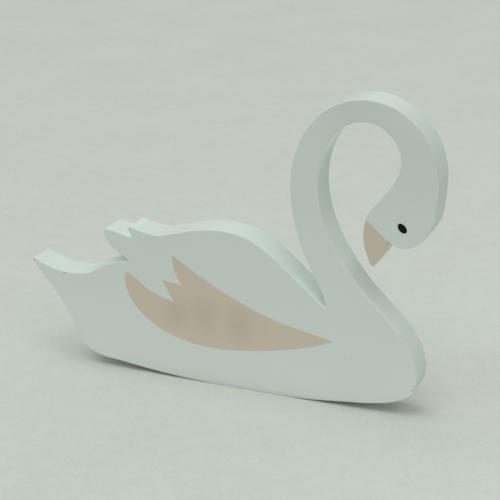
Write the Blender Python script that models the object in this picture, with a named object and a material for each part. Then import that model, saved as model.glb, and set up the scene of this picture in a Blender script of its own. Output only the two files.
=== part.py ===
"""Swan figurine: a swan sawn out of flat board, its edges sanded round, standing on the flat of its keel."""

from math import acos, atan2, ceil, cos, hypot, pi, radians, sin

import bpy

# Driving dimensions, in metres
LENGTH = 0.248  # from the tip of the tail to the front of the head
BOARD = 0.018  # thickness of the board
ARRIS = 0.0007  # radius sanded along the edges of both faces
NOTCH = 0.0004  # radius that the saw leaves at the bottom of a notch
TIP = 0.0011  # radius of a sanded tip, more than the arris so that the arris runs on round it

# The most that the outline turns between two of its points
FACET = radians(7)
CORNER_FACET = radians(22)

# Points along the round of the arris, between its two ends
ARRIS_STEPS = 1

# Where the handles of a smooth edge stand, as a share of the distance between its two places
HANDLE = 1 / 3

# Points of the faces and of the edge band closer than this are joined
SEAM = 0.00001

# Places of the outline, in per cent of LENGTH: x forwards from the middle of the length, z up from the ground
TAIL_TIP = (-50.0, 25.0)
TAIL_NOTCH = (-24.4, 27.9)
LOW_FEATHER_TIP = (-30.4, 34.9)
FEATHER_NOTCH = (-22.8, 33.8)
HIGH_FEATHER_TIP = (-24.0, 36.3)
NECK_NOTCH = (24.6, 23.4)
THROAT = (39.0, 41.2)
BEAK_TIP = (35.4, 35.0)
FOOT_FRONT = (14.3, 0.0)
FOOT_REAR = (-2.5, 0.0)

# Clockwise round the swan: each corner, its radius, and the places that the smooth edge after it runs through
TAIL_TOP = [(-47.0, 24.0), (-43.1, 23.0), (-39.1, 22.8), (-35.3, 23.4), (-31.3, 25.7), (-27.7, 27.1)]
WING_UNDERSIDE = [(-26.3, 29.3), (-28.7, 31.0), (-30.1, 33.0)]
LOW_FEATHER_TOP = [(-28.3, 35.0), (-25.7, 34.4), (-24.2, 34.1)]
HIGH_FEATHER_END = [(-23.6, 34.9)]
WING_TOP = [
    (-20.4, 35.7), (-16.9, 35.3), (-12.4, 36.4), (-6.4, 37.9), (-0.4, 38.5),
    (5.2, 37.7), (10.5, 35.0), (15.6, 31.0), (20.9, 26.4),
]
NECK_BACK = [(24.0, 26.2), (22.0, 30.5), (18.9, 37.2), (17.0, 43.8), (16.3, 50.9), (17.3, 58.1), (20.2, 64.5)]
CROWN = [(25.0, 69.5), (31.3, 72.1), (38.0, 71.8), (43.9, 68.6), (48.0, 63.4)]
CHEEK = [(49.8, 57.3), (49.7, 51.1), (48.5, 45.0), (46.1, 41.6), (43.0, 40.0)]
BEAK_LOWER = [(38.1, 38.5)]
BEAK_TOP = [(34.1, 37.6), (33.3, 41.9), (34.2, 46.6)]
FACE = [(37.2, 50.7), (40.2, 54.7), (41.6, 59.1)]
NECK_INSIDE = [(39.9, 64.0), (36.0, 67.0), (31.6, 67.2), (27.6, 65.0), (24.4, 60.1), (22.8, 53.8)]
NECK_FRONT = [(23.2, 47.3), (25.3, 40.7), (28.9, 34.3), (33.3, 28.6), (38.8, 23.2)]
BREAST = [(43.0, 18.6), (45.6, 13.3), (46.1, 9.0), (44.8, 5.6), (41.6, 3.5)]
KEEL_FRONT = [(35.3, 1.9), (27.9, 1.0), (20.3, 0.2)]
KEEL_REAR = [(-10.4, 0.2), (-19.3, 0.9), (-27.4, 1.8), (-33.2, 2.6)]
STERN = [(-36.7, 4.2), (-38.8, 7.9), (-41.0, 12.4), (-44.1, 17.1), (-47.5, 21.3)]
OUTLINE = [
    (TAIL_TIP, TIP, TAIL_TOP),
    (TAIL_NOTCH, NOTCH, WING_UNDERSIDE),
    (LOW_FEATHER_TIP, TIP, LOW_FEATHER_TOP),
    (FEATHER_NOTCH, NOTCH, HIGH_FEATHER_END),
    (HIGH_FEATHER_TIP, TIP, WING_TOP),
    (NECK_NOTCH, NOTCH, NECK_BACK + CROWN + CHEEK),
    (THROAT, NOTCH, BEAK_LOWER),
    (BEAK_TIP, TIP, BEAK_TOP + FACE + NECK_INSIDE + NECK_FRONT + BREAST + KEEL_FRONT),
    (FOOT_FRONT, 0.0, []),
    (FOOT_REAR, 0.0, KEEL_REAR + STERN),
]

PAINT_COLOUR = (0.66, 0.73, 0.69, 1.0)  # chalky white with a little green in it
PAINT_ROUGHNESS = 0.6


def towards(a, b):
    """Direction from one point to another, and their distance."""
    distance = hypot(b[0] - a[0], b[1] - a[1])
    return (b[0] - a[0]) / distance, (b[1] - a[1]) / distance, distance


def headings(places):
    """Direction of the edge at each place: that of the arc through the place and its two neighbours."""
    inner = []
    for before, here, after in zip(places, places[1:], places[2:]):
        ux, uz, back = towards(before, here)
        vx, vz, ahead = towards(here, after)
        x, z = ux * ahead + vx * back, uz * ahead + vz * back
        inner.append((x / hypot(x, z), z / hypot(x, z)))
    if not inner:
        x, z, _ = towards(*places)
        return [(x, z), (x, z)]
    ends = []
    for end, neighbour, (hx, hz) in ((places[0], places[1], inner[0]), (places[-1], places[-2], inner[-1])):
        x, z, _ = towards(end, neighbour)
        mirror = 2 * (x * hx + z * hz)
        ends.append((mirror * x - hx, mirror * z - hz))
    return [ends[0], *inner, ends[1]]


def smooth_edge(places, ways):
    """Points along the smooth edge through these places, closer together where it bends more."""
    points = []
    for a, b, (hx, hz), (kx, kz) in zip(places, places[1:], ways, ways[1:]):
        ux, uz, distance = towards(a, b)
        reach = distance * HANDLE
        c = (a[0] + hx * reach, a[1] + hz * reach)
        d = (b[0] - kx * reach, b[1] - kz * reach)
        bend = acos(min(1, hx * ux + hz * uz)) + acos(min(1, kx * ux + kz * uz))
        steps = max(1, ceil(bend / FACET))
        for step in range(steps):
            t = step / steps
            s = 1 - t
            points.append([
                s**3 * p + 3 * s * s * t * q + 3 * s * t * t * r + t**3 * w for p, q, r, w in zip(a, c, d, b)
            ])
    return points


def corner_arc(corner, arriving, leaving, radius):
    """Points of the arc that rounds a corner, which stays the arc's outermost point."""
    turn = arriving[0] * leaving[1] - arriving[1] * leaving[0]
    side = -1 if turn > 0 else 1
    start = atan2(side * arriving[0], -side * arriving[1])
    sweep = acos(arriving[0] * leaving[0] + arriving[1] * leaving[1])
    middle = start - side * sweep / 2
    cx, cz = corner[0] - radius * cos(middle), corner[1] - radius * sin(middle)
    steps = ceil(sweep / CORNER_FACET)
    angles = [start - side * sweep * step / steps for step in range(steps + 1)]
    return [(cx + radius * cos(angle), cz + radius * sin(angle)) for angle in angles]


def swan_outline():
    """Points round the swan, in metres."""
    share = LENGTH / 100
    corners = [(x * share, z * share) for (x, z), _, _ in OUTLINE]
    edges = []
    for (_, _, between), corner, following in zip(OUTLINE, corners, corners[1:] + corners[:1]):
        edges.append([corner, *((x * share, z * share) for x, z in between), following])
    ways = [headings(edge) for edge in edges]
    arcs = []
    for index, (_, radius, _) in enumerate(OUTLINE):
        arcs.append(corner_arc(corners[index], ways[index - 1][-1], ways[index][0], radius))
    points = []
    for arc, following, edge, way in zip(arcs, arcs[1:] + arcs[:1], edges, ways):
        points += arc[:-1] if arc[0] != arc[-1] else []
        points += smooth_edge([arc[-1], *edge[1:-1], following[0]], way)
    return points


def paint():
    """Matt paint on the bare board."""
    material = bpy.data.materials.new("white_paint")
    material.use_nodes = True
    shader = material.node_tree.nodes["Principled BSDF"]
    shader.inputs["Base Color"].default_value = PAINT_COLOUR
    shader.inputs["Roughness"].default_value = PAINT_ROUGHNESS
    shader.inputs["Metallic"].default_value = 0.0
    material.diffuse_color = PAINT_COLOUR
    return material


def swan():
    """The board: its outline drawn flat, given its thickness and sanded edge, and stood upright."""
    outline = swan_outline()
    curve = bpy.data.curves.new("swan", "CURVE")
    curve.dimensions = "2D"
    curve.fill_mode = "BOTH"
    curve.extrude = BOARD / 2 - ARRIS
    curve.bevel_depth = ARRIS
    curve.bevel_resolution = ARRIS_STEPS
    curve.offset = -ARRIS
    spline = curve.splines.new("POLY")
    spline.points.add(len(outline) - 1)
    for point, (x, z) in zip(spline.points, outline):
        point.co = (x, z, 0, 1)
    spline.use_cyclic_u = True
    curve.materials.append(paint())
    board = bpy.data.objects.new("swan", curve)
    board.rotation_euler.x = pi / 2
    weld = board.modifiers.new("Weld", "WELD")
    weld.merge_threshold = SEAM
    return board


def main():
    for old in list(bpy.data.objects):
        bpy.data.objects.remove(old, do_unlink=True)
    figurine = bpy.data.collections.new("swan_figurine")
    bpy.context.scene.collection.children.link(figurine)
    figurine.objects.link(swan())


main()
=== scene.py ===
"""Wooden swan: a flat ornament sawn out of board and painted, standing on a pale floor."""

from math import acos, atan2, ceil, cos, hypot, pi, radians, sin

import bpy
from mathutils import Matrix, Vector


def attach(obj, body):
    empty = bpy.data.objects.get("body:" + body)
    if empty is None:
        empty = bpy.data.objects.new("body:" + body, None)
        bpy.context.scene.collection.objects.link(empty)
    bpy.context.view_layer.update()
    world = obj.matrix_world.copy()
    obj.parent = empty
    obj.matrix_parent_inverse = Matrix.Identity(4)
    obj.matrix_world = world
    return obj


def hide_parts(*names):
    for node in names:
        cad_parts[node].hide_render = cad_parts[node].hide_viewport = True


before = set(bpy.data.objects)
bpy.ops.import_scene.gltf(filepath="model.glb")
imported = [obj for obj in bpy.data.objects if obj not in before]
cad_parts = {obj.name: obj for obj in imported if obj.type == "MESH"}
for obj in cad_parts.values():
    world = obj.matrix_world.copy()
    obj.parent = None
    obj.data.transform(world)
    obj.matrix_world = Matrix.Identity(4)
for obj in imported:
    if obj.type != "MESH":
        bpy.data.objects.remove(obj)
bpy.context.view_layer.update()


# The view: the swan is seen from a little to the right of its front and from above, and fills the square picture.
# The lens is long and stands 0.9 m away, so the two faces of the board come out almost the same size.
camera = bpy.data.objects.new("camera", bpy.data.cameras.new("camera"))
bpy.context.scene.collection.objects.link(camera)
camera.location = (0.35098, -0.77879, 0.40882)
camera.rotation_euler = (radians(68.995), radians(0.845), radians(23.171))
camera.data.lens = 116.51
camera.data.sensor_width = 36
camera.data.clip_start = 0.01
bpy.context.scene.camera = camera


# The swan: one piece of 18 mm board. Its outline is sawn with a fine blade, which leaves the notches sharp, and the
# edges of both faces are taken off by hand with sandpaper. It stands on the short flat in the middle of its keel.
LENGTH = 0.248  # from the tip of the tail to the front of the head
PER_CENT = LENGTH / 100
BOARD = 0.018  # thickness
FACE = BOARD / 2  # from the middle of the board to either face
FRONT = -FACE
ARRIS = 0.0007  # radius round both faces
NOTCH = 0.0004  # radius that the saw leaves inside a corner
TIP = 0.0011  # radius of the tips of the tail, the feathers and the beak
OUTLINE_STEP = 0.0008  # longest straight piece of an outline
CORNER_STEP = radians(14)  # widest angle between two points on the arc of a corner

# Places of the outline, in per cent of LENGTH: x forwards from the middle of the length, z up from the ground.
# Each corner comes with its radius and the places that the smooth edge after it runs through, clockwise.
TAIL = ((-50.0, 25.0), TIP, [(-47.0, 24.0), (-43.1, 23.0), (-39.1, 22.8), (-35.3, 23.4), (-31.3, 25.7), (-27.7, 27.1)])
WING_ROOT = ((-24.4, 27.9), NOTCH, [(-26.3, 29.3), (-28.7, 31.0), (-30.1, 33.0)])
LOW_FEATHER = ((-30.4, 34.9), TIP, [(-28.3, 35.0), (-25.7, 34.4), (-24.2, 34.1)])
BETWEEN_FEATHERS = ((-22.8, 33.8), NOTCH, [(-23.6, 34.9)])
WING = ((-24.0, 36.3), TIP, [
    (-20.4, 35.7), (-16.9, 35.3), (-12.4, 36.4), (-6.4, 37.9), (-0.4, 38.5),
    (5.2, 37.7), (10.5, 35.0), (15.6, 31.0), (20.9, 26.4),
])
NECK_AND_HEAD = ((24.6, 23.4), NOTCH, [
    (24.0, 26.2), (22.0, 30.5), (18.9, 37.2), (17.0, 43.8), (16.3, 50.9), (17.3, 58.1), (20.2, 64.5),
    (25.0, 69.5), (31.3, 72.1), (38.0, 71.8), (43.9, 68.6), (48.0, 63.4),
    (49.8, 57.3), (49.7, 51.1), (48.5, 45.0), (46.1, 41.6), (43.0, 40.0),
])
CHIN = ((39.0, 41.2), NOTCH, [(38.1, 38.5)])
BEAK_TO_BREAST = ((35.4, 35.0), TIP, [
    (34.1, 37.6), (33.3, 41.9), (34.2, 46.6),
    (37.2, 50.7), (40.2, 54.7), (41.6, 59.1),
    (39.9, 64.0), (36.0, 67.0), (31.6, 67.2), (27.6, 65.0), (24.4, 60.1), (22.8, 53.8),
    (23.2, 47.3), (25.3, 40.7), (28.9, 34.3), (33.3, 28.6), (38.8, 23.2),
    (43.0, 18.6), (45.6, 13.3), (46.1, 9.0), (44.8, 5.6), (41.6, 3.5),
    (35.3, 1.9), (27.9, 1.0), (20.3, 0.2),
])
FOOT = ((14.3, 0.0), 0.0, [])
KEEL = ((-2.5, 0.0), 0.0, [
    (-10.4, 0.2), (-19.3, 0.9), (-27.4, 1.8), (-33.2, 2.6),
    (-36.7, 4.2), (-38.8, 7.9), (-41.0, 12.4), (-44.1, 17.1), (-47.5, 21.3),
])
SWAN = [TAIL, WING_ROOT, LOW_FEATHER, BETWEEN_FEATHERS, WING, NECK_AND_HEAD, CHIN, BEAK_TO_BREAST, FOOT, KEEL]


def towards(a, b):
    """Direction from one point to another, and their distance."""
    distance = hypot(b[0] - a[0], b[1] - a[1])
    return (b[0] - a[0]) / distance, (b[1] - a[1]) / distance, distance


def headings(places):
    """Direction of the edge at each place: that of the arc through the place and its two neighbours."""
    inner = []
    for before, here, after in zip(places, places[1:], places[2:]):
        ux, uz, back = towards(before, here)
        vx, vz, ahead = towards(here, after)
        x, z = ux * ahead + vx * back, uz * ahead + vz * back
        inner.append((x / hypot(x, z), z / hypot(x, z)))
    if not inner:
        x, z, _ = towards(*places)
        return [(x, z), (x, z)]
    ends = []
    for end, neighbour, (hx, hz) in ((places[0], places[1], inner[0]), (places[-1], places[-2], inner[-1])):
        x, z, _ = towards(end, neighbour)
        mirror = 2 * (x * hx + z * hz)
        ends.append((mirror * x - hx, mirror * z - hz))
    return [ends[0], *inner, ends[1]]


def smooth_edge(places, ways):
    """Points along the smooth edge through these places, with the direction that it has at each."""
    points = []
    for a, b, (hx, hz), (kx, kz) in zip(places, places[1:], ways, ways[1:]):
        distance = towards(a, b)[2]
        c = (a[0] + hx * distance / 3, a[1] + hz * distance / 3)
        d = (b[0] - kx * distance / 3, b[1] - kz * distance / 3)
        steps = ceil(distance / OUTLINE_STEP)
        for step in range(steps):
            t = step / steps
            s = 1 - t
            points.append([
                s**3 * p + 3 * s * s * t * q + 3 * s * t * t * r + t**3 * w for p, q, r, w in zip(a, c, d, b)
            ])
    return points


def corner_arc(corner, arriving, leaving, radius):
    """Points of the arc that rounds a corner, which stays the arc's outermost point."""
    turn = arriving[0] * leaving[1] - arriving[1] * leaving[0]
    side = -1 if turn > 0 else 1
    start = atan2(side * arriving[0], -side * arriving[1])
    sweep = acos(arriving[0] * leaving[0] + arriving[1] * leaving[1])
    middle = start - side * sweep / 2
    cx, cz = corner[0] - radius * cos(middle), corner[1] - radius * sin(middle)
    steps = ceil(sweep / CORNER_STEP)
    angles = [start - side * sweep * step / steps for step in range(steps + 1)]
    return [(cx + radius * cos(angle), cz + radius * sin(angle)) for angle in angles]


def closed_curve(name, points):
    """A closed curve through these points, lying flat on the ground plane."""
    curve = bpy.data.curves.new(name, "CURVE")
    curve.dimensions = "3D"
    spline = curve.splines.new("POLY")
    spline.points.add(len(points) - 1)
    for point, (x, z) in zip(spline.points, points):
        point.co = (x, z, 0, 1)
    spline.use_cyclic_u = True
    drawn = bpy.data.objects.new(name, curve)
    bpy.context.scene.collection.objects.link(drawn)
    return drawn


def shape(name, stretches):
    """The closed curve of an outline, out of its corners and the smooth edges between them."""
    corners = [(x * PER_CENT, z * PER_CENT) for (x, z), _, _ in stretches]
    edges = []
    for (_, _, between), corner, following in zip(stretches, corners, corners[1:] + corners[:1]):
        edges.append([corner, *((x * PER_CENT, z * PER_CENT) for x, z in between), following])
    ways = [headings(edge) for edge in edges]
    arcs = []
    for index, (_, radius, _) in enumerate(stretches):
        arcs.append(corner_arc(corners[index], ways[index - 1][-1], ways[index][0], radius))
    points = []
    for arc, following, edge, way in zip(arcs, arcs[1:] + arcs[:1], edges, ways):
        points += arc[:-1] if arc[0] != arc[-1] else []
        points += smooth_edge([arc[-1], *edge[1:-1], following[0]], way)
    return closed_curve(name, points)


class Reading:
    """What a socket gives. Arithmetic on it adds the nodes that work it out."""

    def __init__(self, bench, socket):
        self.bench = bench
        self.socket = socket

    def worked(self, operation, *values):
        return self.bench.node("ShaderNodeMath", {"operation": operation}, dict(enumerate(values)))

    def __add__(self, other):
        return self.worked("ADD", self, other)

    def __radd__(self, other):
        return self.worked("ADD", other, self)

    def __sub__(self, other):
        return self.worked("SUBTRACT", self, other)

    def __rsub__(self, other):
        return self.worked("SUBTRACT", other, self)

    def __mul__(self, other):
        return self.worked("MULTIPLY", self, other)

    def __rmul__(self, other):
        return self.worked("MULTIPLY", other, self)

    def __truediv__(self, other):
        return self.worked("DIVIDE", self, other)

    def __neg__(self):
        return self.worked("MULTIPLY", self, -1.0)

    def __abs__(self):
        return self.worked("ABSOLUTE", self)

    def __gt__(self, other):
        return self.worked("GREATER_THAN", self, other)

    def or_more(self, other):
        return self.worked("MAXIMUM", self, other)

    def rising(self, low, high):
        """0 below low, 1 above high, and an even slope that starts and ends gently between them."""
        return self.bench.node(
            "ShaderNodeMapRange",
            {"interpolation_type": "SMOOTHSTEP"},
            {"Value": self, "From Min": low, "From Max": high},
        )

    def at_least(self, least):
        """Squeezes what goes from 0 to 1, so that it goes from the least to 1."""
        return least + (1.0 - least) * self

    def swing(self, amount):
        """The ups and downs of a noise about its middle, this many times as large."""
        return (self - 0.5) * amount


class Bench:
    """A node tree, and the one way in which its nodes are made."""

    def __init__(self, tree):
        self.tree = tree

    def feed(self, made, values):
        """Gives the sockets of a node their values or links. A list holds all that goes into one socket."""
        for name, value in values.items():
            for given in value if isinstance(value, list) else [value]:
                if isinstance(given, Reading):
                    self.tree.links.new(given.socket, made.inputs[name])
                else:
                    made.inputs[name].default_value = given

    def node(self, kind, settings, values, *outs):
        """Makes a node with these settings and then these values or links. Gives its first output, or those named."""
        made = self.tree.nodes.new(kind)
        for name, value in settings.items():
            setattr(made, name, value)
        self.feed(made, values)
        sockets = [made.outputs[out] for out in outs] or made.outputs[:1]
        readings = [Reading(self, socket) for socket in sockets]
        return readings[0] if len(readings) == 1 else readings


STRIP = 1.04  # how far a strip of the face reaches in beside its arris, in widths of the arris
WELD = 0.000001  # points that are closer than this become one
RUN_OUT = 0.008  # length over which the rubbing of the foot ends, in front and behind
RUB_HEIGHT = 0.01  # height above the ground at which nothing is rubbed off
FOOT_EDGE = (0.0002, 0.002)  # heights between which the sharp edge of the foot turns into the sanded one


def board_tree():
    """Nodes that give a flat outline its thickness, with the edges of both faces rounded, and stand it upright."""
    tree = bpy.data.node_groups.new("board", "GeometryNodeTree")
    inputs = {
        "Outline": "NodeSocketGeometry",
        "Thickness": "NodeSocketFloat",
        "Arris": "NodeSocketFloat",
        "Arris Steps": "NodeSocketInt",
        "Edge Steps": "NodeSocketInt",
        "Unevenness": "NodeSocketFloat",
        "Unevenness Scale": "NodeSocketFloat",
        "Seed": "NodeSocketFloat",
        "Foot Rear": "NodeSocketFloat",
        "Foot Front": "NodeSocketFloat",
        "Foot Rubbed": "NodeSocketFloat",
        "Middle": "NodeSocketFloat",
        "Material": "NodeSocketMaterial",
    }
    for name, kind in inputs.items():
        tree.interface.new_socket(name, in_out="INPUT", socket_type=kind)
    tree.interface.new_socket("Board", in_out="OUTPUT", socket_type="NodeSocketGeometry")
    bench = Bench(tree)
    node = bench.node
    asked = dict(zip(inputs, node("NodeGroupInput", {}, {}, *inputs)))

    def vector(x, y, z):
        return node("ShaderNodeCombineXYZ", {}, {"X": x, "Y": y, "Z": z})

    def scaled(way, amount):
        return node("ShaderNodeVectorMath", {"operation": "SCALE"}, {0: way, "Scale": amount})

    def moved(geometry, offset):
        return node("GeometryNodeTransform", {}, {"Geometry": geometry, "Translation": offset})

    arris = asked["Arris"]
    half = asked["Thickness"] / 2.0
    flat = half - arris
    rim = arris * STRIP
    # Across the edge, from the back face to the front: a strip of the face, its arris, the sawn edge, and so on
    quarter = node("GeometryNodeCurveArc", {"mode": "RADIUS"}, {
        "Resolution": asked["Arris Steps"], "Radius": arris, "Start Angle": pi / 2, "Sweep Angle": pi / 2,
    })
    back_strip = node("GeometryNodeCurvePrimitiveLine", {}, {
        "Start": vector(rim, half, 0.0), "End": vector(arris, half, 0.0),
    })
    back_arris = moved(quarter, vector(arris, flat, 0.0))
    edge = node("GeometryNodeCurvePrimitiveLine", {}, {
        "Start": vector(0.0, flat, 0.0), "End": vector(0.0, -flat, 0.0),
    })
    sawn = node("GeometryNodeResampleCurve", {"mode": "COUNT"}, {"Curve": edge, "Count": asked["Edge Steps"]})
    mirrored = node("GeometryNodeTransform", {}, {"Geometry": back_arris, "Scale": (1.0, -1.0, 1.0)})
    front_arris = node("GeometryNodeReverseCurve", {}, {"Curve": mirrored})
    front_strip = node("GeometryNodeCurvePrimitiveLine", {}, {
        "Start": vector(arris, -half, 0.0), "End": vector(rim, -half, 0.0),
    })
    section = node("GeometryNodeJoinGeometry", {}, {
        "Geometry": [back_strip, back_arris, sawn, front_arris, front_strip],
    })
    outline = node("GeometryNodeSetCurveNormal", {"mode": "Z_UP"}, {"Curve": asked["Outline"]})
    band = node("GeometryNodeCurveToMesh", {}, {"Curve": outline, "Profile Curve": section})
    # The two faces, inside the strips
    inwards = node("GeometryNodeInputNormal", {}, {})
    line = node("GeometryNodeSetPosition", {}, {"Geometry": outline, "Offset": scaled(inwards, rim)})
    sheet = node("GeometryNodeFillCurve", {}, {"Curve": line})
    front = moved(sheet, vector(0.0, 0.0, half))
    back = moved(sheet, vector(0.0, 0.0, -half))
    faces = node("GeometryNodeSetShadeSmooth", {}, {
        "Geometry": node("GeometryNodeJoinGeometry", {}, {
            "Geometry": [front, node("GeometryNodeFlipFaces", {}, {"Mesh": back})],
        }),
        "Shade Smooth": False,
    })
    smooth_band = node("GeometryNodeSetShadeSmooth", {}, {"Geometry": band, "Shade Smooth": True})
    solid = node("GeometryNodeMergeByDistance", {}, {
        "Geometry": node("GeometryNodeJoinGeometry", {}, {"Geometry": [smooth_band, faces]}), "Distance": WELD,
    })
    # The foot was rubbed flat after the arris was taken off, so its own edges are sharp
    place = node("GeometryNodeInputPosition", {}, {})
    along, up, through = node("ShaderNodeSeparateXYZ", {}, {0: place}, "X", "Y", "Z")
    behind = along.rising(asked["Foot Rear"] - RUN_OUT, asked["Foot Rear"])
    ahead = along.rising(asked["Foot Front"], asked["Foot Front"] + RUN_OUT)
    lowered = behind * (1.0 - ahead) * asked["Foot Rubbed"] * (1.0 - up.rising(0.0, RUB_HEIGHT))
    rubbed = (up - lowered).or_more(0.0)
    footed = node("GeometryNodeSetPosition", {}, {"Geometry": solid, "Position": vector(along, rubbed, through)})
    # The sanded edge is a little uneven along its length, and the faces and the foot stay flat
    on_edge = ((half - abs(through)) / arris).rising(0.0, 1.0) * up.rising(*FOOT_EDGE)
    waver = node("ShaderNodeTexNoise", {"noise_dimensions": "4D"}, {
        "Vector": place, "W": asked["Seed"], "Scale": asked["Unevenness Scale"], "Detail": 2.0,
    })
    outwards = node("GeometryNodeInputNormal", {}, {})
    sanding = scaled(outwards, (waver - 0.5) * on_edge * asked["Unevenness"])
    sanded = node("GeometryNodeSetPosition", {}, {"Geometry": footed, "Offset": sanding})
    upright = node("GeometryNodeTransform", {}, {
        "Geometry": sanded, "Rotation": (pi / 2, 0.0, 0.0), "Translation": vector(0.0, asked["Middle"], 0.0),
    })
    real = node("GeometryNodeRealizeInstances", {}, {"Geometry": upright})
    finished = node("GeometryNodeSetMaterial", {}, {"Geometry": real, "Material": asked["Material"]})
    node("NodeGroupOutput", {}, {"Board": finished})
    return tree


def made_solid(drawn, tree, inputs):
    """The outline as a plain mesh, after the nodes have given it its thickness."""
    modifier = drawn.modifiers.new("board", "NODES")
    modifier.node_group = tree
    for item in tree.interface.items_tree:
        if item.in_out == "INPUT" and item.name in inputs:
            modifier[item.identifier] = inputs[item.name]
    mesh = bpy.data.meshes.new_from_object(drawn.evaluated_get(bpy.context.evaluated_depsgraph_get()))
    name, curve = drawn.name, drawn.data
    bpy.data.objects.remove(drawn)
    bpy.data.curves.remove(curve)
    mesh.name = name
    solid = bpy.data.objects.new(name, mesh)
    bpy.context.scene.collection.objects.link(solid)
    return solid


# Its paint: a chalky white with a little green in it, rolled on the faces and brushed round the edges. It is thin on
# the arris, where tan undercoat shows in places, and small chips and specks show the brown board. The beak is beige.
WHITE = (0.671, 0.729, 0.694, 1.0)
FULL_WHITE = (0.697, 0.757, 0.725, 1.0)
EDGE_WHITE = (0.645, 0.735, 0.670, 1.0)
STREAK = (0.605, 0.665, 0.60, 1.0)
# A cream that is both the edge's yellowed coat and painted light on the shaded edge
PAINTED_LIGHT_CREAM = (0.85, 0.85, 0.77, 1.0)
TAN = (0.56, 0.52, 0.40, 1.0)
BROWN = (0.20, 0.13, 0.07, 1.0)
BEIGE = (0.634, 0.549, 0.452, 1.0)
# How fine the patterns in the paint are, in turns to the metre
BLOTCHES = 28.0
BRUSH_STREAKS = 60.0
RUBBING = 260.0
ROLLER_GRAIN = 1500.0
# The marks of the paint. Each has its place, how far it reaches from there, and how strongly it shows.
TAN_LINE = [  # undercoat along the arris
    ((40.2, 71.2), 0.009, 0.25), ((43.4, 69.0), 0.013, 0.5), ((46.4, 65.6), 0.012, 0.5), ((48.5, 59.6), 0.012, 0.45),
    ((49.2, 49.5), 0.013, 0.4), ((45.4, 7.6), 0.004, 0.4),
]
CREAM_AND_LIGHT_MARKS = [  # yellowed cream coat on the edge together with painted light, lighter towards the front face, most of all on the shaded edge inside the neck
    ((46.4, 65.6), 0.012, 0.05), ((49.2, 49.5), 0.013, 0.1), ((26.2, 63.4), 0.013, 0.9), ((23.8, 58.4), 0.014, 0.7),
    ((45.4, 7.6), 0.004, 0.1),
]
CHIPS = [  # bare board at the front face's edge and on the face
    ((29.4, 12.2), 0.0006, 0.25), ((21.1, 46.7), 0.0004, 0.3), ((42.7, 18.1), 0.0006, 0.2),
    ((-41.6, 22.5), 0.0006, 0.75), ((-41.9, 22.5), 0.0005, 0.35), ((-49.8, 24.5), 0.0009, 0.3),
    ((-23.7, 35.9), 0.0006, 0.15), ((-23.3, 35.8), 0.0006, 0.12), ((45.6, 7.9), 0.0010, 0.18),
    ((45.2, 6.9), 0.0008, 0.3), ((46.2, 60.8), 0.0007, 0.08), ((45.4, 61.0), 0.0005, 0.06),
]
# Painted light and shade on the sawn edge: it is made lighter where the notches and the inside of the neck lie in
# shade, and darker on some lit stretches
EDGE_LIGHT_AND_SHADE = [
    ((-47.8, 24.2), 0.014, 0.04), ((-31.3, 25.7), 0.010, -0.04), ((-26.2, 27.5), 0.006, 0.06),
    ((-26.4, 34.6), 0.008, 0.03), ((-10.4, 36.8), 0.030, -0.025), ((10.8, 34.8), 0.018, -0.02),
    ((23.0, 24.6), 0.015, 0.15), ((28.4, 71.3), 0.016, -0.09), ((32.5, 72.3), 0.014, -0.02),
    ((45.0, 67.6), 0.024, -0.035), ((25.8, 62.8), 0.016, 0.17), ((27.0, 37.6), 0.024, 0.055),
    ((32.2, 29.8), 0.017, -0.10), ((45.6, 13.2), 0.032, 0.035), ((36.0, 25.8), 0.012, -0.03),
    ((19.0, 28.0), 0.010, 0.03), ((37.6, 37.6), 0.012, 0.08), ((24.6, 23.4), 0.002, 0.20),
    ((-24.6, 27.9), 0.006, 0.20), ((-23.2, 34.4), 0.006, 0.25), ((49.4, 53.0), 0.014, -0.03),
    ((18.7, 28.3), 0.006, 0.05),
]
# The share of a mark's reach over which it shows fully
WORN_CORE = 0.3
CHIP_CORE = 0.6
EDGE_LIGHT_AND_SHADE_CORE = 0.2
# Painted shade on the faces of the head, darker towards its top: place, how far it is fully dark, how far it reaches,
# and how much darker it is
FACE_SHADE_PLACES = [((31.5, 70.5), 0.006, 0.03, 0.05), ((44.0, 58.0), 0.010, 0.026, 0.025)]
# The beak's paint ends at a shallow curve across the face, an arc with this middle and radius
BEAK_MIDDLE = (0.0123, 0.0, 0.0181)
BEAK_RADIUS = 0.1190
BEAK_BLUR = 0.00015  # how far its line is soft to either side
BEAK_REAR = 0.0785  # the paint is only in front of this
BEAK_LOWEST = 0.0819  # and only above this
BEAK_LAP = (0.0055, 0.003)  # from each face it laps thickly round the edge as far as this, fading between the two


def new_finish(name):
    """A new material, the bench for its nodes, and its shader."""
    material = bpy.data.materials.new(name)
    material.use_nodes = True
    return material, Bench(material.node_tree), material.node_tree.nodes["Principled BSDF"]


MIX_SHARE, MIX_A, MIX_B, MIX_RESULT = 0, 6, 7, 2  # sockets of a Mix node that is set to colours


def mixed(bench, share, a, b):
    """A colour that goes from a to b as the share goes from 0 to 1."""
    sockets = {MIX_SHARE: share, MIX_A: a, MIX_B: b}
    return bench.node("ShaderNodeMix", {"data_type": "RGBA"}, sockets, MIX_RESULT)


def cloud(bench, scale, detail=3.0, stretch=(1.0, 1.0, 1.0), shift=(0.0, 0.0, 0.0)):
    """Soft noise, finer along an axis where the stretch is above 1."""
    where = bench.node("ShaderNodeTexCoord", {}, {}, "Object")
    drawn = bench.node("ShaderNodeMapping", {}, {"Vector": where, "Scale": stretch, "Location": shift})
    return bench.node("ShaderNodeTexNoise", {}, {"Vector": drawn, "Scale": scale, "Detail": detail}, "Fac")


def relief(bench, height, depth):
    """The surface's fine relief, as deep as this where the height goes from 0 to 1."""
    return bench.node("ShaderNodeBump", {}, {"Height": height, "Strength": 0.6, "Distance": depth}, "Normal")


def spot(at, y=0.0):
    """A place in per cent of LENGTH, at this depth of the board."""
    return at[0] * PER_CENT, y, at[1] * PER_CENT


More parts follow.
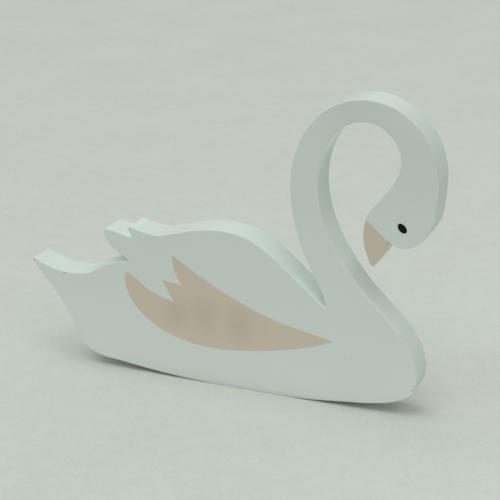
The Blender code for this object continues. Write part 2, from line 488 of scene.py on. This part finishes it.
def apart(bench, place, point):
    """How far the surface is from a point."""
    return bench.node("ShaderNodeVectorMath", {"operation": "DISTANCE"}, {0: place, 1: point}, "Value")


def near(bench, place, point, core, reach):
    """1 up to the core's distance from a point, and fading to 0 at the reach."""
    return 1.0 - apart(bench, place, point).rising(core, reach)


def marks(bench, place, table, y, core):
    """How strongly each mark of a table shows. The core is the share of its reach over which it shows fully."""
    return [near(bench, place, spot(at, y), core * reach, reach) * strength for at, reach, strength in table]


def strongest(readings):
    """The highest of several readings."""
    highest, *others = readings
    for other in others:
        highest = highest.or_more(other)
    return highest


def together(readings):
    """The sum of several readings."""
    first, *others = readings
    return sum(others, first)


paint, coat, shader = new_finish("white_paint")
place = coat.node("ShaderNodeTexCoord", {}, {}, "Object")
x, y, z = coat.node("ShaderNodeSeparateXYZ", {}, {0: place}, "X", "Y", "Z")
flat_place = coat.node("ShaderNodeCombineXYZ", {}, {"X": x, "Z": z})
rolled = cloud(coat, ROLLER_GRAIN)
blotches = cloud(coat, BLOTCHES)
brushed = cloud(coat, BRUSH_STREAKS, stretch=(1.0, 14.0, 1.0))
rubbed = cloud(coat, RUBBING, shift=(0.3, 0.0, 0.0))

# Where the board's edge is, without the arris, and where the arris is, without its two rims
depth = abs(y)
on_edge = 1.0 - depth.rising(FACE - ARRIS, FACE - 0.6 * ARRIS)
past_edge = depth.rising(FACE - ARRIS, FACE - 0.75 * ARRIS)
on_arris = past_edge * (1.0 - depth.rising(FACE - 0.2 * ARRIS, FACE - 0.03 * ARRIS))

thin = on_arris * strongest(marks(coat, place, TAN_LINE, FRONT, WORN_CORE))
thin = thin * rubbed.rising(0.4, 0.6).at_least(0.3)
# Painted light on the edge together with its yellowed cream coat, lightest at the front face and fading towards the
# back
near_front = 1.0 - y.rising(FRONT, FACE / 2)
cream_and_light = on_edge * strongest(marks(coat, place, CREAM_AND_LIGHT_MARKS, FRONT, WORN_CORE)) * near_front
cream_and_light = cream_and_light * brushed.rising(0.35, 0.65).at_least(0.7)
# Painted light and shade on the edge: how much lighter, or darker where negative, each place makes it
painted_edge_light = together(marks(coat, flat_place, EDGE_LIGHT_AND_SHADE, 0.0, EDGE_LIGHT_AND_SHADE_CORE))
# Painted shade on the faces of the head, darker towards its top
painted_face_shade = together([
    near(coat, flat_place, spot(at), core, reach) * darker for at, core, reach, darker in FACE_SHADE_PLACES
])
chips = []
for at, size, bare in CHIPS:
    ragged = apart(coat, place, spot(at, FRONT)) + rubbed.swing(size)
    chips.append((1.0 - ragged.rising(CHIP_CORE * size, size)) * bare)
chipped = strongest(chips)

# The beak's paint covers its two faces fully, and the edge between them more thinly
inside = near(coat, flat_place, BEAK_MIDDLE, BEAK_RADIUS - BEAK_BLUR, BEAK_RADIUS + BEAK_BLUR)
on_beak = inside * (x > BEAK_REAR) * (z > BEAK_LOWEST)
lapped = 0.35 * depth.rising(FACE - BEAK_LAP[0], FACE - BEAK_LAP[1])
on_face = 0.3 * depth.rising(FACE - 2 * ARRIS, FACE - ARRIS)
on_beak = on_beak * (0.35 + lapped + on_face)

white = mixed(coat, 0.5 + blotches.swing(1.4), WHITE, FULL_WHITE)
white = mixed(coat, on_edge * 0.4, white, EDGE_WHITE)
white = mixed(coat, on_edge * brushed.rising(0.45, 0.75) * 0.15, white, STREAK)
white = mixed(coat, cream_and_light, white, PAINTED_LIGHT_CREAM)
colour = mixed(coat, on_beak, white, BEIGE)
# Painted light and shade: the edge is lightened in its shaded notches and darkened on some lit stretches, and the faces
# are darkened towards the top of the head
lighter = 1.0 + on_edge * painted_edge_light - (1.0 - on_edge) * painted_face_shade
colour = coat.node("ShaderNodeVectorMath", {"operation": "SCALE"}, {0: colour, "Scale": lighter})
colour = mixed(coat, thin, colour, TAN)
colour = mixed(coat, chipped, colour, BROWN)
height = rolled * 0.25 + on_edge * brushed * 2.0 - chipped * 3.0
coat.feed(shader, {
    "Base Color": colour,
    "Roughness": 0.55 + blotches.swing(0.12) + on_edge * brushed * 0.10 + chipped * 0.25,
    "Normal": relief(coat, height, depth=0.00003),
})

board = board_tree()
swan = made_solid(shape("swan_board", SWAN), board, {
    "Thickness": BOARD,
    "Arris": ARRIS,
    "Arris Steps": 6,
    "Edge Steps": 18,
    "Unevenness": 0.0001,
    "Unevenness Scale": 60.0,
    "Seed": 3.0,
    "Foot Rear": KEEL[0][0] * PER_CENT,
    "Foot Front": FOOT[0][0] * PER_CENT,
    "Foot Rubbed": 0.0004,
    "Middle": 0.0,
    "Material": paint,
})
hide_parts("swan")
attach(swan, "root")


# The wing's patch: one thin coat of beige paint put on the front face through a stencil, a little cloudy in the middle
# where the roller had run nearly dry. It has two short feathers at the top, and its edge is crisp.
COAT = 0.00012  # thickness
CRISP = 0.0003  # radius of a cut corner of the stencil
REAR_TIP = (-25.0, 25.2)
WING_PATCH = [
    (REAR_TIP, 0.0013, [(-23.8, 24.5), (-22.4, 23.7), (-20.2, 22.0), (-18.0, 20.9), (-15.8, 20.1), (-13.7, 19.5)]),
    ((-13.0, 19.1), CRISP, [(-13.6, 20.5), (-14.5, 22.1)]),
    ((-15.6, 24.4), CRISP, [(-13.6, 24.1), (-11.7, 23.9)]),
    ((-10.8, 23.8), CRISP, [(-11.7, 25.2), (-12.5, 27.4), (-12.9, 29.5)]),
    ((-12.9, 30.8), CRISP, [
        (-9.7, 28.9), (-6.1, 26.7), (-2.7, 24.9), (0.9, 23.1), (4.5, 21.5), (7.9, 20.1), (11.3, 19.0),
        (14.8, 18.0), (18.2, 17.3), (21.7, 16.6), (24.6, 16.1),
    ]),
    ((26.1, 15.6), 0.0008, [
        (24.9, 14.9), (21.8, 13.7), (18.3, 12.6), (14.8, 11.7), (11.3, 10.9), (7.8, 10.3), (4.2, 9.8),
        (0.6, 9.4), (-3.0, 9.3), (-6.7, 9.4), (-10.4, 10.0), (-14.1, 11.0), (-17.6, 12.6), (-21.3, 15.2),
        (-23.5, 17.6), (-24.9, 20.5), (-25.4, 23.0),
    ]),
]
CLOUDS = 70.0
DIM_BEIGE = (0.567, 0.482, 0.390, 1.0)
THIN_BEIGE = (0.67, 0.64, 0.56, 1.0)
DIM_CORE = 0.15
# Where the coat is dim: place, how far it reaches, how strongly it shows
DIM = [
    ((-12.4, 16.6), 0.0135, 0.8), ((-4.6, 17.2), 0.0165, 0.75), ((3.2, 16.0), 0.0160, 0.9), ((8.6, 17.4), 0.0110, 0.5),
]

beige, coat, shader = new_finish("beige_paint")
place = coat.node("ShaderNodeTexCoord", {}, {}, "Object")
cloudy = cloud(coat, CLOUDS)
dim = strongest(marks(coat, place, DIM, FRONT, DIM_CORE)) * cloudy.rising(0.3, 0.6).at_least(0.35)
tip = near(coat, place, spot(REAR_TIP, FRONT), core=0.0005, reach=0.0045)
colour = mixed(coat, dim, BEIGE, DIM_BEIGE)
coat.feed(shader, {
    "Base Color": mixed(coat, tip * 0.5, colour, THIN_BEIGE),
    "Roughness": 0.5 + cloudy.swing(0.15),
    "Normal": relief(coat, cloud(coat, ROLLER_GRAIN), depth=0.00001),
})

patch = made_solid(shape("wing_patch", WING_PATCH), board, {
    "Thickness": COAT,
    "Arris": COAT / 3,
    "Arris Steps": 3,
    "Edge Steps": 2,
    "Middle": FRONT,
    "Material": beige,
})
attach(patch, "root")


# The eyes: on each face of the head, one oval drop of black enamel that leans back from the beak. It is set down with
# the tip of a fine brush, and dries slightly domed and glossy.
EYE = (42.15, 44.69)
EYE_LONG = 0.00310  # half its length
EYE_SHORT = 0.00209  # half its width
EYE_LEAN = radians(133.3)
EYE_DOME = 0.0004  # thickness
EYE_POINTS = 64
BLACK = (0.002, 0.002, 0.002, 1.0)
ENAMEL_CLOUDS = 900.0

black, coat, shader = new_finish("black_enamel")
coat.feed(shader, {
    "Base Color": BLACK,
    "Specular IOR Level": 0.15,
    "Roughness": 0.22 + cloud(coat, ENAMEL_CLOUDS, detail=2.0) * 0.16,
})

eye_x, _, eye_z = spot(EYE)
oval = []
for point in range(EYE_POINTS):
    turn = -2 * pi * point / EYE_POINTS
    along, across = EYE_LONG * cos(turn), EYE_SHORT * sin(turn)
    oval.append((
        eye_x + along * cos(EYE_LEAN) - across * sin(EYE_LEAN),
        eye_z + along * sin(EYE_LEAN) + across * cos(EYE_LEAN),
    ))
for name, middle in (("front_eye", FRONT), ("back_eye", FACE)):
    eye = made_solid(closed_curve(name, oval), board, {
        "Thickness": EYE_DOME,
        "Arris": EYE_DOME / 2.2,
        "Arris Steps": 6,
        "Edge Steps": 2,
        "Middle": middle,
        "Material": black,
    })
    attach(eye, "root")


# The floor: a wide sheet of pale card, slightly mottled by the fibres in it. It lies loose and flat, and runs out of
# the picture on every side.
FLOOR = 6.0  # from the middle to each side
DARK_CARD = (0.606, 0.629, 0.580, 1.0)
PALE_CARD = (0.646, 0.669, 0.622, 1.0)
WIDE_MOTTLE = 14.0
SMALL_MOTTLE = 95.0
FIBRES = 420.0

card, sheet, shader = new_finish("card")
mottle = 0.5 + cloud(sheet, WIDE_MOTTLE, detail=8.0).swing(1.6) + cloud(sheet, SMALL_MOTTLE).swing(1.5)
mottle = mottle + cloud(sheet, FIBRES).swing(2.5)
sheet.feed(shader, {
    "Base Color": mixed(sheet, mottle, DARK_CARD, PALE_CARD),
    "Roughness": 0.9,
    "Specular IOR Level": 0.2,
})
floor = bpy.data.objects.new("floor", bpy.data.meshes.new("floor"))
corners = [(-FLOOR, -FLOOR, 0), (FLOOR, -FLOOR, 0), (FLOOR, FLOOR, 0), (-FLOOR, FLOOR, 0)]
floor.data.from_pydata(corners, [], [(0, 1, 2, 3)])
floor.data.materials.append(card)
bpy.context.scene.collection.objects.link(floor)


# The light: a pale room, brighter behind the swan. A broad soft lamp shines from high on the left, with weaker ones
# low in front and at the back on the left, and a nearer one on the right. The pale floor in front throws light back up.
ROOM = (1.0, 1.0, 1.0, 1.0)
ROOM_IN_FRONT = 0.2
ROOM_BEHIND = 0.56  # how much brighter it is straight behind
LAMP_AWAY = 1.6
LAMP_AIM = Vector((0.0, 0.0, 0.06))

world = bpy.data.worlds.new("room")
bpy.context.scene.world = world
world.use_nodes = True
room = Bench(world.node_tree)
way = room.node("ShaderNodeTexCoord", {}, {}, "Generated")
backwards = room.node("ShaderNodeSeparateXYZ", {}, {0: way}, "Y")
room.feed(world.node_tree.nodes["Background"], {
    "Color": ROOM,
    "Strength": ROOM_IN_FRONT + ROOM_BEHIND * backwards.or_more(0.0),
})


def lamp(name, kind, settings, round_from_front, above_floor):
    """A soft lamp that shines on the swan, placed by two angles in degrees."""
    data = bpy.data.lights.new(name, kind)
    for setting, value in settings.items():
        setattr(data, setting, value)
    soft = bpy.data.objects.new(name, data)
    bpy.context.scene.collection.objects.link(soft)
    turn, rise = radians(round_from_front), radians(above_floor)
    away = Vector((sin(turn) * cos(rise), -cos(turn) * cos(rise), sin(rise)))
    soft.location = LAMP_AIM + LAMP_AWAY * away
    soft.rotation_euler = (-away).to_track_quat("-Z", "Y").to_euler()
    soft.visible_camera = False
    return soft


lamp("high_left", "SUN", {"energy": 1.41, "angle": radians(55), "color": (0.925, 1.0, 0.96)}, -48, 74)
lamp("low_front", "SUN", {"energy": 0.39, "angle": radians(50)}, 20, 30)
lamp("back_left", "SUN", {"energy": 0.12, "angle": radians(50)}, -120, 50)
lamp("right", "AREA", {"energy": 3.6, "shape": "SQUARE", "size": 1.0, "color": (0.975, 1.0, 0.96)}, 60, 50)
glow = lamp("floor_glow", "AREA", {"energy": 0.041, "shape": "RECTANGLE", "size": 0.5, "size_y": 0.128}, 0, 90)
glow.location = (0.0, -0.076, 0.0006)
glow.rotation_euler = (pi, 0.0, 0.0)
bpy.context.scene.view_settings.view_transform = "Standard"
